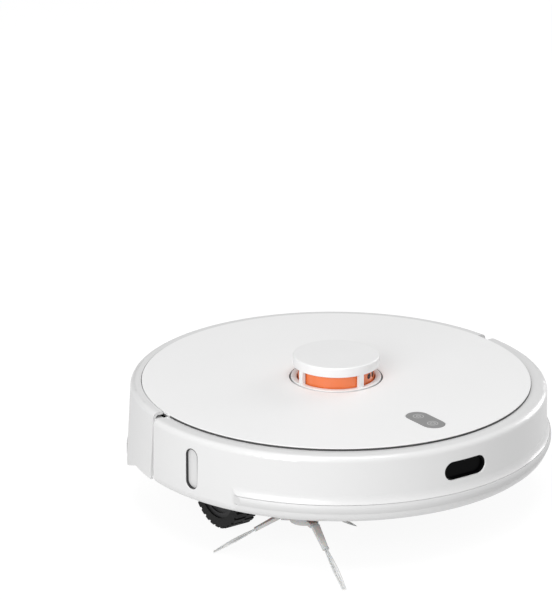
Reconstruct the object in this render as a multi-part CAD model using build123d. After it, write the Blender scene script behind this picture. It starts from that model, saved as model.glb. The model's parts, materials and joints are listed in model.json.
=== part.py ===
"""Robot vacuum cleaner: a round, low body on two sprung drive wheels and a swivel caster.

Frame: +Z up, front of the robot towards -Y, robot's own left towards +X.
The origin is the centre of the round body, on the plane that the hanging wheels touch.
At rest the robot is as when it is lifted or set down: both drive wheels hang at full drop.
"""

from build123d import *
import math
import os

# ---------------------------------------------------------------- driving dimensions (mm)
DROP = 24.0              # how far the drive wheels hang below their driving position
TOP = 78.0 + DROP        # top face of the lid
PLATE_R = 161.2          # round lid
PLATE_T = 2.0
FLOOR = TOP - 61.5       # underside of the lower chassis
SHEET = 2.5              # wall of the moulded shells
CHASSIS_R = 165.5
CHASSIS_WALL_TOP = TOP - 13.0

BUMPER_R = 174.8         # bumper wall just under its rounded top edge
BUMPER_LOW_R = 175.6     # and at the top of the bead, after the draft
BUMPER_HALF = 92.0       # degrees each side of the front
BUMPER_TRAVEL = 3.5
BUMPER_BOTTOM = TOP - 57.0
BEAD_HALF = 63.5         # the soft bead covers this much each side of the front
BEAD_TOP = TOP - 41.0
BEAD_BOTTOM = TOP - 48.6

REAR_R = 170.6           # rear wall just under its rounded top edge
REAR_LOW_R = 174.5       # rear wall at the lower edge of its skirt
REAR_BOTTOM = TOP - 57.0
SKIRT_BOTTOM = TOP - 70.5
SKIRT = (105.5, 122.0)   # degrees from the front over which the skirt reaches lower
REAR_START = 94.9        # degrees from the front where the rear wall starts
RIM_ROUND = 4.6          # radius of the rounded top edges

LIDAR_CAP_R = 35.9
LIDAR_RING_R = 37.6
LIDAR_HOLE_R = 39.0
LIDAR_TOP = TOP + 19.8
ROTOR_R = 31.6
ROTOR_PULLEY_R = 32.0
LIDAR_PULLEY_R = 4.0
LIDAR_MOTOR_X = -45.0
CAP_TRAVEL = 1.2

BUTTON_Y = -122.0
BUTTON_R = 9.3
BUTTON_HALF = 10.4       # centre of the pill to the centre of its end arc
BUTTON_GAP = 0.3

WHEEL_R = 35.0
WHEEL_W = 20.0
WHEEL_X = 115.0          # middle of the tyre
AXLE_Y = -7.0
AXLE_Z = WHEEL_R
PIVOT_Y = -61.0
PIVOT_Z = 55.0
WELL_X = (62.0, 101.5, 130.5)       # inside of a wheel well: gearbox side, tyre side, outer side
WELL_Y = (-77.5, 14.0, 35.0)        # front, end of the wide part, rear
WELL_TOP = TOP - 5.8
WELL_ROOF = 1.2

CASTER_Y = -128.0
CASTER_R = 12.0
CASTER_TRAIL = 5.5
CASTER_Z = DROP + CASTER_R

BRUSH_X, BRUSH_Y = -101.0, -98.7    # side brush spindle
ARM_Z = TOP - 67.5
ARM_START = 20.0         # radius at which an arm leaves the hub, and flexes
ARM_END = 39.0           # radius at which the rubber ends and the bristles start
TIP_R = 72.7
TIP_Z = 1.4              # middle of the bristle tip above the floor
ARM_FIRST = -99.7        # direction of the first arm, in degrees from +X
ARM_DROP = math.degrees(math.atan2(ARM_Z - TIP_Z, TIP_R - ARM_START))

ROLLER_Y = 57.0
ROLLER_Z = 45.0
ROLLER_R = 20.0
ROLLER_HALF = 80.0
CHAMBER_R = 24.0
ROLLER_PULLEY_R = 9.0
DRIVE_PULLEY_R = 5.0
DRIVE_Y, DRIVE_Z = 43.0, 82.5
BELT_T = 1.2
BELT_GAP = 0.06

BIN_HALF_W = 72.0
BIN_FRONT = 88.0
BIN_LOW, BIN_HIGH = TOP - 52.0, TOP - 14.0
BIN_FACE_HALF = 29.0     # degrees each side of the rear that the bin's face covers

TANK_FRONT = 94.0
TANK_HALF = 68.0         # degrees each side of the rear
TANK_LOW, TANK_HIGH = TOP - 69.5, TOP - 57.3

FRONT = -90.0            # the front's direction, in degrees from +X
REAR = 90.0


# ---------------------------------------------------------------- helpers
def cyl(r, z0, z1, x=0.0, y=0.0):
    """Upright cylinder between two heights."""
    return Pos(x, y, (z0 + z1) / 2) * Cylinder(r, z1 - z0)


def tube(r_out, r_in, z0, z1, x=0.0, y=0.0):
    return cyl(r_out, z0, z1, x, y) - cyl(r_in, z0 - 1, z1 + 1, x, y)


def block(x0, x1, y0, y1, z0, z1):
    return Pos((x0 + x1) / 2, (y0 + y1) / 2, (z0 + z1) / 2) * Box(x1 - x0, y1 - y0, z1 - z0)


def rod(r, x0, x1, y, z):
    """Cylinder along X."""
    return Pos((x0 + x1) / 2, y, z) * Rot(0, 90, 0) * Cylinder(r, abs(x1 - x0))


def outline(*steps):
    """Closed face through the steps: a step is a point, or (middle, end) of an arc."""
    edges = []
    here = steps[0]
    for step in steps[1:] + (steps[0],):
        if isinstance(step[0], tuple):
            edges.append(ThreePointArc(here, step[0], step[1]))
            here = step[1]
        elif math.dist(here, step) > 1e-9:
            edges.append(Line(here, step))
            here = step
    return make_face(edges)


def turned(face, start=0.0, arc=360.0):
    """The face, drawn as radius and height, turned about Z from start through arc."""
    return Rot(0, 0, start) * revolve(Plane.XZ * face, axis=Axis.Z, revolution_arc=arc)


def round_mid(cx, cz, r, angle):
    """Point of a circle at an angle, for the middle of a rounded corner."""
    return (cx + r * math.cos(math.radians(angle)), cz + r * math.sin(math.radians(angle)))


def polar(r, degrees):
    return r * math.cos(math.radians(degrees)), r * math.sin(math.radians(degrees))


def pill(half, r):
    """Flat pill, its long axis along local X."""
    return SlotCenterToCenter(2 * half, 2 * r)


def radial_plug(face, direction, r, z, depth):
    """The face stood upright on a radius: local X runs round the body, local Y is up."""
    x, y = polar(r, direction)
    out = Vector(x, y, 0).normalized()
    side = Vector(0, 0, 1).cross(out)
    plane = Plane(origin=(x, y, z), x_dir=side, z_dir=out)
    return extrude(plane * face, depth / 2, both=True)


def loop_belt(r1, p1, r2, p2, thick, gap, z0, z1):
    """Flat belt round two pulleys, in the XY plane of its own, clear of both by gap."""
    def hull(extra):
        a = Pos(*p1) * Circle(r1 + extra)
        b = Pos(*p2) * Circle(r2 + extra)
        return make_hull(a.edges() + b.edges())
    return Pos(0, 0, z0) * extrude(hull(gap + thick) - hull(gap), z1 - z0)


# ---------------------------------------------------------------- fixed body
def pan_inside(gap=0.0):
    """Room inside the lower chassis, kept clear of its round wall by gap."""
    wall_in = CHASSIS_R - SHEET - gap
    room = turned(outline((0, FLOOR + SHEET), (149.3 - gap, FLOOR + SHEET), (wall_in, FLOOR + 9.2),
                          (wall_in, TOP), (0, TOP)))
    return room - block(-200, 200, TANK_FRONT - 1 - SHEET, 200, 0, TANK_HIGH + 0.4 + SHEET)


def lower_chassis():
    pan = turned(outline((0, FLOOR), (150, FLOOR), (CHASSIS_R, FLOOR + 7.5),
                         (CHASSIS_R, CHASSIS_WALL_TOP), (0, CHASSIS_WALL_TOP)))
    pan -= block(-200, 200, TANK_FRONT - 1, 200, 0, TANK_HIGH + 0.4)
    pan -= pan_inside()
    opening = well_space(0, FLOOR - 1, FLOOR + SHEET + 1)
    pan = pan - opening - mirror(opening, Plane.YZ)
    pan -= block(-98, 98, ROLLER_Y - 31, ROLLER_Y + 31, FLOOR - 1, FLOOR + SHEET + 1)
    pan -= block(-44, 44, -102, -26, FLOOR - 1, FLOOR + SHEET + 1)
    pan -= cyl(CUP_R, FLOOR - 1, FLOOR + SHEET + 1, 0, CASTER_Y)
    pan -= cyl(7.0, FLOOR - 1, FLOOR + SHEET + 1, BRUSH_X, BRUSH_Y)
    pan -= block(-BIN_HALF_W - 1, BIN_HALF_W + 1, 120, 200, BIN_LOW - 0.6, CHASSIS_WALL_TOP + 1)
    for x, y, turn in CLIFF_PLACES:
        pan -= Pos(x, y, FLOOR) * Rot(0, 0, turn) * extrude(pill(4.0, 4.0), 8, both=True)
    for x in CONTACT_X:
        pan -= block(x - 9, x + 9, CONTACT_Y - 4, CONTACT_Y + 4, FLOOR - 1, FLOOR + SHEET + 1)
    for x, y in SCREW_PLACES:
        pan -= cyl(3.6, FLOOR - 1, FLOOR + 1.2, x, y)
        pan -= cyl(1.5, FLOOR, FLOOR + SHEET + 1, x, y)
    return pan


CLIFF_PLACES = [(-51.2, -133.5, 0), (51.2, -133.5, 0), (-139.5, -12.0, 90), (139.5, -12.0, 90)]
CONTACT_X = (-31.0, 31.0)
CONTACT_Y = -112.0
SCREW_PLACES = [(side * x, y) for side in (1, -1)
                for x, y in ((52, -88), (52, -8), (112, 66), (141, 22))] + [(108, -96)]


def well_space(wall, z0, z1):
    """Room for one drive wheel: wide where the gearbox swings, narrow behind it."""
    inner, tyre_side, outer = WELL_X
    front, step, rear = WELL_Y
    wide = block(inner - wall, outer + wall, front - wall, step + wall, z0, z1)
    return wide + block(tyre_side - wall, outer + wall, step, rear + wall, z0, z1)


def wheel_well():
    """Housing of a drive wheel: it stands on the chassis floor and holds the arm's pivot pin."""
    housing = well_space(SHEET, FLOOR + SHEET, WELL_TOP + WELL_ROOF) - well_space(0, FLOOR, WELL_TOP)
    return (housing & pan_inside(0.4)) + rod(3.0, WELL_X[0] - 0.5, 103.0, PIVOT_Y, PIVOT_Z)


def rim_section(wall_r, low_r, ring_r, ring_z, bottom, inner_ring_r):
    """Section of an outer wall: flat top ring, rounded edge, drafted wall."""
    edge_r = wall_r - RIM_ROUND
    mid_z = ring_z - RIM_ROUND
    inner_edge = RIM_ROUND - SHEET
    return outline(
        (ring_r, ring_z), (edge_r, ring_z),
        (round_mid(edge_r, mid_z, RIM_ROUND, 45), (wall_r, mid_z)),
        (low_r, bottom), (low_r - SHEET, bottom), (wall_r - SHEET, mid_z),
        (round_mid(edge_r, mid_z, inner_edge, 45), (edge_r, ring_z - SHEET)),
        (inner_ring_r, ring_z - SHEET), (inner_ring_r, ring_z - 1.0), (ring_r, ring_z - 1.0))


def rear_shell():
    arc = 360 - 2 * REAR_START
    ring_z = TOP - 0.5
    wall = turned(rim_section(REAR_R, face_r(REAR_BOTTOM), PLATE_R + 0.5, ring_z, REAR_BOTTOM,
                              PLATE_R + 0.5), FRONT + REAR_START, arc)
    wall += skirt()
    ledge = turned(outline((163.2, CHASSIS_WALL_TOP), (168.5, CHASSIS_WALL_TOP),
                           (168.5, CHASSIS_WALL_TOP + 2), (163.2, CHASSIS_WALL_TOP + 2)),
                   FRONT + REAR_START + 2, arc - 4)
    tongue = turned(outline((PLATE_R + 0.5, TOP - 5.6), (168.6, TOP - 5.6), (168.6, TOP - 56),
                            (167.0, TOP - 56), (167.0, TOP - 7), (PLATE_R + 0.5, TOP - 7)),
                    FRONT + BUMPER_HALF - 4, 360 - 2 * (BUMPER_HALF - 4))
    shell = wall + (tongue - turned(outline((0, 0), (200, 0), (200, TOP), (0, TOP)),
                                    FRONT + REAR_START + 3, arc - 6))
    ribs = [turned(outline((REAR_R - SHEET - 1.8, TOP - 50), (REAR_R - 1.5, TOP - 50),
                           (REAR_R - 1.5, TOP - 8), (REAR_R - SHEET - 1.8, TOP - 8)),
                   FRONT + side * (REAR_START + 1.5) - 1.2, 2.4) for side in (1, -1)]
    for rib in ribs:
        shell += rib
    return shell + ledge - rear_opening(BIN_FACE_HALF + 0.25, BIN_LOW - 0.4, BIN_HIGH + 0.4)


def skirt():
    """Lower edge of the wall on both sides of the tank: it slopes down towards the rear."""
    start, end = SKIRT
    low_r = face_r(SKIRT_BOTTOM)
    ring = turned(outline((face_r(REAR_BOTTOM) - SHEET, REAR_BOTTOM), (face_r(REAR_BOTTOM), REAR_BOTTOM),
                          (low_r, SKIRT_BOTTOM), (low_r - SHEET, SKIRT_BOTTOM)),
                  FRONT + start, end - start)
    y0, y1 = (-low_r * math.cos(math.radians(a)) for a in (start, start + 12))
    wedge = outline((y0 - 20, REAR_BOTTOM), (y0, REAR_BOTTOM), (y1, SKIRT_BOTTOM), (y1, 0), (y0 - 20, 0))
    side_plane = Plane(origin=(0, 0, 0), x_dir=(0, 1, 0), z_dir=(1, 0, 0))
    ring -= extrude(side_plane * wedge, 200, both=True)
    return ring + mirror(ring, Plane.YZ)


def rear_opening(half_angle, low, high):
    """Cutter for the dust bin's opening: a ring segment centred on the rear."""
    return turned(outline((150, low), (190, low), (190, high), (150, high)),
                  REAR - half_angle, 2 * half_angle)


def top_plate():
    plate = cyl(PLATE_R, TOP - PLATE_T, TOP)
    plate = fillet(plate.edges().group_by(Axis.Z)[-1], 0.5)
    plate -= cyl(LIDAR_HOLE_R, TOP - 5, TOP + 1)
    hole = Pos(0, BUTTON_Y, TOP - 3) * Rot(0, 0, 90) * extrude(
        pill(BUTTON_HALF, BUTTON_R + BUTTON_GAP), 6)
    return plate - hole


def upper_deck():
    deck = tube(150, LIDAR_HOLE_R + 4.5, TOP - 6.5, TOP - 4.5)
    deck += tube(150, 147, TOP - 4.5, TOP - PLATE_T)
    deck += tube(64, 61, TOP - 4.5, TOP - PLATE_T)
    for angle in range(0, 360, 45):
        deck += Rot(0, 0, angle + 22.5) * block(63, 148, -1.2, 1.2, TOP - 4.5, TOP - PLATE_T)
    deck -= block(-14, 14, BUTTON_Y - 24, BUTTON_Y + 24, TOP - 8, TOP + 1)
    deck += block(-16, 16, BUTTON_Y - 26, BUTTON_Y + 26, TOP - 8.5, TOP - 6.5)
    deck += tube(156.5, 148.5, TOP - 8.6, TOP - 6.5)
    for side in (1, -1):
        above_well = well_space(SHEET + 0.3, TOP - 9, TOP - 4.5)
        deck -= above_well if side > 0 else mirror(above_well, Plane.YZ)
    lug = tube(4.5, 1.6, CHASSIS_WALL_TOP - 10, TOP - 8.6)
    for angle in (20, 58, 122, 160, 215, 325):
        x, y = polar(154.0, angle)
        deck += Pos(x, y, 0) * lug
    return deck


def brush_chamber():
    """Housing of the roller: open below, with a way out at the back into the dust bin."""
    half_x = ROLLER_HALF + 5.0
    low, high = FLOOR + SHEET + 0.2, ROLLER_Z + CHAMBER_R + 2.5
    body = block(-half_x, half_x, ROLLER_Y - 27, ROLLER_Y + 27, low, high)
    body -= rod(CHAMBER_R, -ROLLER_HALF - 2, ROLLER_HALF + 2, ROLLER_Y, ROLLER_Z)
    body -= block(-ROLLER_HALF - 2, ROLLER_HALF + 2, ROLLER_Y - CHAMBER_R, ROLLER_Y + CHAMBER_R,
                  low - 1, ROLLER_Z)
    body += block(-62, 62, ROLLER_Y + 26.5, BIN_FRONT - 0.6, DUCT_LOW - 3, DUCT_HIGH + 3)
    body -= block(-59, 59, ROLLER_Y + 8, BIN_FRONT, DUCT_LOW, DUCT_HIGH)
    for side in (1, -1):
        body += rod(5.0, side * (ROLLER_HALF + 0.8), side * (half_x - 1), ROLLER_Y, ROLLER_Z)
    body -= rod(2.6, -half_x - 1, half_x + 1, ROLLER_Y, ROLLER_Z)
    guard_x = half_x + 8.5
    case = block(half_x - 0.5, guard_x, ROLLER_Y - 27, ROLLER_Y + 12.8, low, 93)
    case -= block(half_x, guard_x - 1.5, ROLLER_Y - 25.5, ROLLER_Y + 11.3, low - 1, 91.5)
    case -= rod(2.6, half_x - 2, half_x + 1, ROLLER_Y, ROLLER_Z)
    case -= rod(2.2, half_x - 2, half_x + 1, DRIVE_Y, DRIVE_Z)
    return body + case


DUCT_LOW, DUCT_HIGH = 54.0, 65.0


def main_brush_motor():
    motor = rod(10.0, 50, ROLLER_HALF + 3.5, DRIVE_Y, DRIVE_Z)
    motor += rod(5.0, 46, 50.5, DRIVE_Y, DRIVE_Z)
    motor += block(60, 80, DRIVE_Y - 10, DRIVE_Y + 10, ROLLER_Z + CHAMBER_R + 2.5, DRIVE_Z - 4)
    return motor


def main_brush_belt():
    belt = loop_belt(ROLLER_PULLEY_R, (ROLLER_Y, ROLLER_Z), DRIVE_PULLEY_R, (DRIVE_Y, DRIVE_Z),
                     BELT_T, BELT_GAP, 0, 4)
    stood = Plane(origin=(BELT_X - 2, 0, 0), x_dir=(0, 1, 0), z_dir=(1, 0, 0))
    return stood * belt


BELT_X = ROLLER_HALF + 8.6


def battery_pack():
    pack = block(-41, 41, -93, -29, FLOOR + SHEET + 0.6, FLOOR + SHEET + 34)
    pack = fillet(pack.edges().filter_by(Axis.Z), 3)
    pack += block(-10, 10, -29, -24, FLOOR + SHEET + 10, FLOOR + SHEET + 18)
    return pack


def battery_cover():
    cover = block(-43.7, 43.7, -101.7, -26.3, FLOOR, FLOOR + SHEET)
    cover = fillet(cover.edges().filter_by(Axis.Z), 1.5)
    for x in (-36, 36):
        cover -= cyl(3.6, FLOOR - 1, FLOOR + 1.2, x, -97)
        cover -= cyl(1.5, FLOOR, FLOOR + SHEET + 1, x, -97)
    for k in range(5):
        cover -= block(-12, 12, -36 + 2.4 * k, -34.8 + 2.4 * k, FLOOR - 1, FLOOR + 0.6)
    return cover


def main_board():
    board = block(-56, 56, -104, -38, 84.5, 86.1)
    chips = [block(-30, -14, -84, -68, 86.1, 87.6), block(2, 12, -90, -80, 86.1, 87.4),
             block(22, 34, -70, -58, 86.1, 87.8), block(-48, -40, -98, -60, 86.1, 91),
             block(40, 50, -96, -76, 86.1, 91)]
    cans = [cyl(3.5, 86.1, 93.5, x, -50) for x in (-10, 0, 10)]
    return Compound(children=[board] + chips + cans)


def lidar_base():
    low = TOP - 24
    base = cyl(43.0, low, low + 2.5) + cyl(12.5, low, low + 2.5, LIDAR_MOTOR_X - 1, 0)
    base += cyl(9.9, low + 2.5, TOP - 8)
    for angle in (30, 150, 210, 330):
        x, y = polar(46.5, angle)
        base += cyl(4.0, low, TOP - 6.5, x, y)
    return base - cyl(4.2, low - 1, low + 4, LIDAR_MOTOR_X, 0)


def lidar_motor():
    low = TOP - 24
    can = cyl(8.5, low - 14, low, LIDAR_MOTOR_X, 0)
    return can + cyl(1.2, low - 1, low + 8, LIDAR_MOTOR_X, 0)


def lidar_belt():
    return loop_belt(ROTOR_PULLEY_R, (0, 0), LIDAR_PULLEY_R, (LIDAR_MOTOR_X, 0), 1.0, BELT_GAP,
                     TOP - 18.5, TOP - 16.5)


def side_brush_gearbox():
    low = FLOOR + SHEET + 4.5
    box = cyl(15.0, low, low + 13, BRUSH_X, BRUSH_Y)
    motor_x, motor_y = BRUSH_X + 24, BRUSH_Y - 12
    box += block(BRUSH_X, motor_x, BRUSH_Y - 20, BRUSH_Y + 5, low, low + 12)
    box += cyl(10.5, FLOOR + SHEET + 0.3, low + 30, motor_x, motor_y)
    box += cyl(6.9, FLOOR, low, BRUSH_X, BRUSH_Y)
    box += cyl(2.6, ARM_Z - 1.5, FLOOR, BRUSH_X, BRUSH_Y)
    return box


CUP_R = 20.5
CUP_INNER_R = 18.0
CUP_TOP = 64.0


def caster_socket():
    cup = cyl(CUP_R, FLOOR, CUP_TOP, 0, CASTER_Y)
    cup -= cyl(CUP_INNER_R, FLOOR - 1, CUP_TOP - 3, 0, CASTER_Y)
    return cup - cyl(3.06, CUP_TOP - 4, CUP_TOP + 4, 0, CASTER_Y)


def charge_contacts():
    return Compound(children=[
        block(x - 8.8, x + 8.8, CONTACT_Y - 3.8, CONTACT_Y + 3.8, FLOOR - 0.3, FLOOR + 2)
        for x in CONTACT_X])


def cliff_sensor_lenses():
    return Compound(children=[
        Pos(x, y, FLOOR + 0.4) * Rot(0, 0, turn) * extrude(pill(3.9, 3.9), 1.8)
        for x, y, turn in CLIFF_PLACES])


def chassis_screws():
    places = [(x, y, FLOOR) for x, y in SCREW_PLACES] + [(x, -97, FLOOR) for x in (-36, 36)]
    screws = []
    for x, y, z in places:
        screw = cyl(3.0, z + 0.2, z + 1.2, x, y) + cyl(1.4, z + 1.0, z + 6, x, y)
        screw -= block(x - 1.8, x + 1.8, y - 0.35, y + 0.35, z - 1, z + 0.8)
        screw -= block(x - 0.35, x + 0.35, y - 1.8, y + 1.8, z - 1, z + 0.8)
        screws.append(screw)
    return Compound(children=screws)


FAN_X, FAN_Y = 108.0, 90.0
FAN_R = 21.5
FAN_LOW = TANK_HIGH + SHEET + 3.0
FAN_HIGH = FAN_LOW + 30.0


def fan_housing():
    """Scroll-less fan case: air comes in by the duct from the dust bin and leaves above."""
    house = cyl(FAN_R, FAN_LOW, FAN_HIGH, FAN_X, FAN_Y)
    inner_r = FAN_R - 2.2
    duct = block(BIN_HALF_W + 0.6, FAN_X - 12, FAN_Y - 6, FAN_Y + 8, FAN_LOW + 6, FAN_LOW + 22)
    house += duct
    house -= cyl(inner_r, FAN_LOW + 2, FAN_HIGH - 2, FAN_X, FAN_Y)
    house -= block(BIN_HALF_W, FAN_X - 12, FAN_Y - 4.2, FAN_Y + 6.2, FAN_LOW + 8, FAN_LOW + 20)
    house -= cyl(12.0, FAN_HIGH - 3, FAN_HIGH + 1, FAN_X, FAN_Y)
    house += cyl(8.0, FAN_LOW + 1.5, FAN_LOW + 12, FAN_X, FAN_Y)
    return house + cyl(1.5, FAN_LOW + 11, FAN_LOW + 22, FAN_X, FAN_Y)


# ---------------------------------------------------------------- bumper
def bumper_shell():
    arc = 2 * BUMPER_HALF
    start = FRONT - BUMPER_HALF
    ring_z = TOP - 2.5
    edge_r = BUMPER_R - RIM_ROUND
    mid_z = ring_z - RIM_ROUND
    inner_round = RIM_ROUND - SHEET
    flange_in = 157.4
    skin = turned(outline(
        (flange_in, ring_z), (edge_r, ring_z),
        (round_mid(edge_r, mid_z, RIM_ROUND, 45), (BUMPER_R, mid_z)),
        (BUMPER_LOW_R, BEAD_TOP), (BUMPER_LOW_R, TOP - 50.5),
        ((BUMPER_LOW_R - 1.1, TOP - 54.4), (171.6, BUMPER_BOTTOM)),
        (169.4, BUMPER_BOTTOM), (BUMPER_LOW_R - SHEET, TOP - 50.0),
        (BUMPER_LOW_R - SHEET, BEAD_TOP), (BUMPER_R - SHEET, mid_z),
        (round_mid(edge_r, mid_z, inner_round, 45), (edge_r, ring_z - SHEET)),
        (flange_in, ring_z - 1.6)), start, arc)
    flare = turned(outline(
        (BUMPER_LOW_R - 1, TOP - 34.5), (BUMPER_LOW_R - 0.05, TOP - 34.5),
        ((BUMPER_LOW_R + 0.7, TOP - 38.4), (BUMPER_LOW_R + 2.3, BEAD_TOP)),
        (BUMPER_LOW_R + 0.6, BEAD_TOP), (BUMPER_LOW_R + 0.6, BEAD_BOTTOM),
        (BUMPER_LOW_R + 2.1, BEAD_BOTTOM),
        ((BUMPER_LOW_R + 0.9, TOP - 52.6), (BUMPER_LOW_R - 1.6, TOP - 55.2)),
        (BUMPER_LOW_R - 2.4, TOP - 52)), FRONT - BEAD_HALF, 2 * BEAD_HALF)
    shell = skin + taper_ends(flare)
    shell -= radial_plug(pill(WINDOW_HALF, WINDOW_R), FRONT, BUMPER_R, WINDOW_Z, 20)
    shell -= radial_plug(Rot(0, 0, 90) * pill(SLOT_HALF, SLOT_R), FRONT + SLOT_ANGLE, BUMPER_R,
                         SLOT_Z, 20)
    return fillet([edge for edge in shell.edges() if is_mouth(edge @ 0.5)], MOUTH_ROUND)


MOUTH_ROUND = 0.5


def is_mouth(point):
    """True beside the outer edge of one of the two openings in the bumper."""
    angle = math.degrees(math.atan2(point.Y, point.X)) - FRONT
    if math.hypot(point.X, point.Y) < BUMPER_R - 0.5:
        return False
    in_window = abs(angle) < 7.5 and abs(point.Z - WINDOW_Z) < WINDOW_R + 0.5
    return in_window or (abs(angle - SLOT_ANGLE) < 2.8 and abs(point.Z - SLOT_Z) < SLOT_HALF + SLOT_R + 0.5)


WINDOW_HALF, WINDOW_R, WINDOW_Z = 12.2, 7.7, TOP - 23.4
SLOT_HALF, SLOT_R, SLOT_Z, SLOT_ANGLE = 10.8, 6.2, TOP - 29.8, -76.2


def taper_ends(ring):
    """Both ends of the bead rise out of the wall: a slanted plane takes each end off."""
    for side in (1, -1):
        end = FRONT + side * BEAD_HALF
        x, y = polar(BUMPER_LOW_R - 0.4, end)
        beyond = block(0, 60, -60, 60, -60, 60)
        ring -= Pos(x, y, BEAD_TOP) * Rot(0, 0, end + side * TAPER_SLANT) * beyond
    return ring


TAPER_SLANT = 20.0       # degrees between the slanted plane and the wall


def bumper_strip():
    strip = turned(outline(
        (BUMPER_LOW_R + 0.6, BEAD_TOP - 0.3), (BUMPER_LOW_R + 2.8, BEAD_TOP - 0.3),
        ((BUMPER_LOW_R + 3.7, (BEAD_TOP + BEAD_BOTTOM) / 2), (BUMPER_LOW_R + 2.8, BEAD_BOTTOM + 0.3)),
        (BUMPER_LOW_R + 0.6, BEAD_BOTTOM + 0.3)), FRONT - BEAD_HALF, 2 * BEAD_HALF)
    return taper_ends(strip)


def front_ir_window():
    """Dark moulding that lines the slot in the bumper, open to the front."""
    plug = radial_plug(pill(WINDOW_HALF - 0.1, WINDOW_R - 0.1), FRONT, 171.7, WINDOW_Z, 3.4)
    plug -= radial_plug(pill(WINDOW_HALF - 0.9, WINDOW_R - 0.9), FRONT, 172.6, WINDOW_Z, 2.8)
    return plug + radial_plug(pill(WINDOW_HALF + 1.6, WINDOW_R + 1.6), FRONT, 170.4, WINDOW_Z, 0.8)


def wall_sensor_window():
    face = Rot(0, 0, 90) * pill(SLOT_HALF - 0.25, SLOT_R - 0.25)
    flange = Rot(0, 0, 90) * pill(SLOT_HALF + 1.2, SLOT_R + 1.2)
    angle = FRONT + SLOT_ANGLE
    return (radial_plug(face, angle, 171.2, SLOT_Z, 2.0)
            + radial_plug(flange, angle, 170.3, SLOT_Z, 1.4))


# ---------------------------------------------------------------- distance sensor turret
def lidar_cap():
    ring = tube(LIDAR_RING_R, 32.6, TOP - 3.0, TOP + 0.8)
    ring = fillet(ring.edges().group_by(Axis.Z)[-1], 0.5)
    ring += tube(41.5, 32.6, TOP - 4.4, TOP - 3.0)
    dome = cyl(LIDAR_CAP_R, TOP + 11.8, LIDAR_TOP)
    dome = fillet(dome.edges().group_by(Axis.Z)[-1], 1.3)
    dome -= cyl(33.4, TOP + 10, LIDAR_TOP - 2.2)
    cap = ring + dome
    for angle in range(0, 360, 90):
        post = block(32.8, 35.7, -2.4, 2.4, TOP + 0.3, TOP + 13)
        cap += Rot(0, 0, angle) * post
    return cap


def lidar_rotor():
    rotor = cyl(ROTOR_PULLEY_R + 1.4, TOP - 20.2, TOP - 19.0)
    rotor += cyl(ROTOR_PULLEY_R, TOP - 19.5, TOP - 16)
    rotor += cyl(ROTOR_PULLEY_R + 1.4, TOP - 16.0, TOP - 14.8)
    rotor += cyl(ROTOR_R, TOP - 15, TOP + 11.4)
    rotor -= cyl(ROTOR_R - 2.2, TOP - 6, TOP + 9.4)
    rotor -= cyl(9.98, TOP - 21, TOP - 7)
    for angle in LENS_ANGLES:
        rotor -= radial_plug(Circle(LENS_R), angle, ROTOR_R, TOP + 6.2, 14)
    return rotor


LENS_ANGLES = (FRONT + 38.0, FRONT - 112.0)
LENS_R = 3.6


def lidar_lenses():
    return Compound(children=[radial_plug(Circle(LENS_R - 0.05), angle, ROTOR_R - 3.2, TOP + 6.2, 5)
                              for angle in LENS_ANGLES])


def lidar_pulley():
    z0 = TOP - 20.2
    pulley = cyl(LIDAR_PULLEY_R, z0 + 1, TOP - 15.6, LIDAR_MOTOR_X, 0)
    pulley += cyl(LIDAR_PULLEY_R + 1, z0, z0 + 1.2, LIDAR_MOTOR_X, 0)
    return pulley - cyl(1.25, z0 - 1, TOP, LIDAR_MOTOR_X, 0)


# ---------------------------------------------------------------- control button
def control_button():
    """Rocker: it tips to the home sign or to the power sign."""
    button = Pos(0, BUTTON_Y, TOP - 2.2) * Rot(0, 0, 90) * extrude(pill(BUTTON_HALF, BUTTON_R), 2.4)
    button = fillet(button.edges().group_by(Axis.Z)[-1], 0.35)
    return button + block(-4, 4, BUTTON_Y - 1.2, BUTTON_Y + 1.2, TOP - 5.6, TOP - 2.2)


# ---------------------------------------------------------------- drive wheels
def arm_slab(x0, x1, r):
    """Stadium from the suspension pivot to the wheel's axle, between two x."""
    length = math.dist((PIVOT_Y, PIVOT_Z), (AXLE_Y, AXLE_Z))
    tilt = math.degrees(math.atan2(AXLE_Z - PIVOT_Z, AXLE_Y - PIVOT_Y))
    plane = Plane(origin=(x0, (PIVOT_Y + AXLE_Y) / 2, (PIVOT_Z + AXLE_Z) / 2),
                  x_dir=(0, math.cos(math.radians(tilt)), math.sin(math.radians(tilt))),
                  z_dir=(1, 0, 0))
    return extrude(plane * SlotCenterToCenter(length, 2 * r), x1 - x0)


def wheel_arm():
    arm = arm_slab(86.0, 101.0, 10.5) + rod(15.0, 89, 101, AXLE_Y, AXLE_Z)
    arm += arm_slab(85.2, 86.0, 8.5)
    arm -= rod(3.08, 80, 105, PIVOT_Y, PIVOT_Z)
    arm -= rod(4.08, 92, 105, AXLE_Y, AXLE_Z)
    return arm


MOTOR_Y, MOTOR_Z = PIVOT_Y + 19.0, PIVOT_Z - 1.0


def wheel_motor():
    can = rod(10.5, 65, 85.2, MOTOR_Y, MOTOR_Z) + rod(4.0, 63.2, 65.2, MOTOR_Y, MOTOR_Z)
    return can


def wheel_hub():
    face = WHEEL_X + WHEEL_W / 2 - 1.5
    back = WHEEL_X - WHEEL_W / 2 + 0.5
    hub = rod(26.5, back, face, AXLE_Y, AXLE_Z)
    hub -= rod(22.5, face - 1.2, face + 1, AXLE_Y, AXLE_Z) - rod(9.0, face - 2, face + 2, AXLE_Y, AXLE_Z)
    hub += rod(4.0, 93.0, back + 1, AXLE_Y, AXLE_Z)
    for k in range(5):
        y, z = polar(15.5, 72 * k + 90)
        hub -= rod(3.6, face - 3.4, face + 1, AXLE_Y + y, AXLE_Z + z)
    return hub


LUGS = 30


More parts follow.
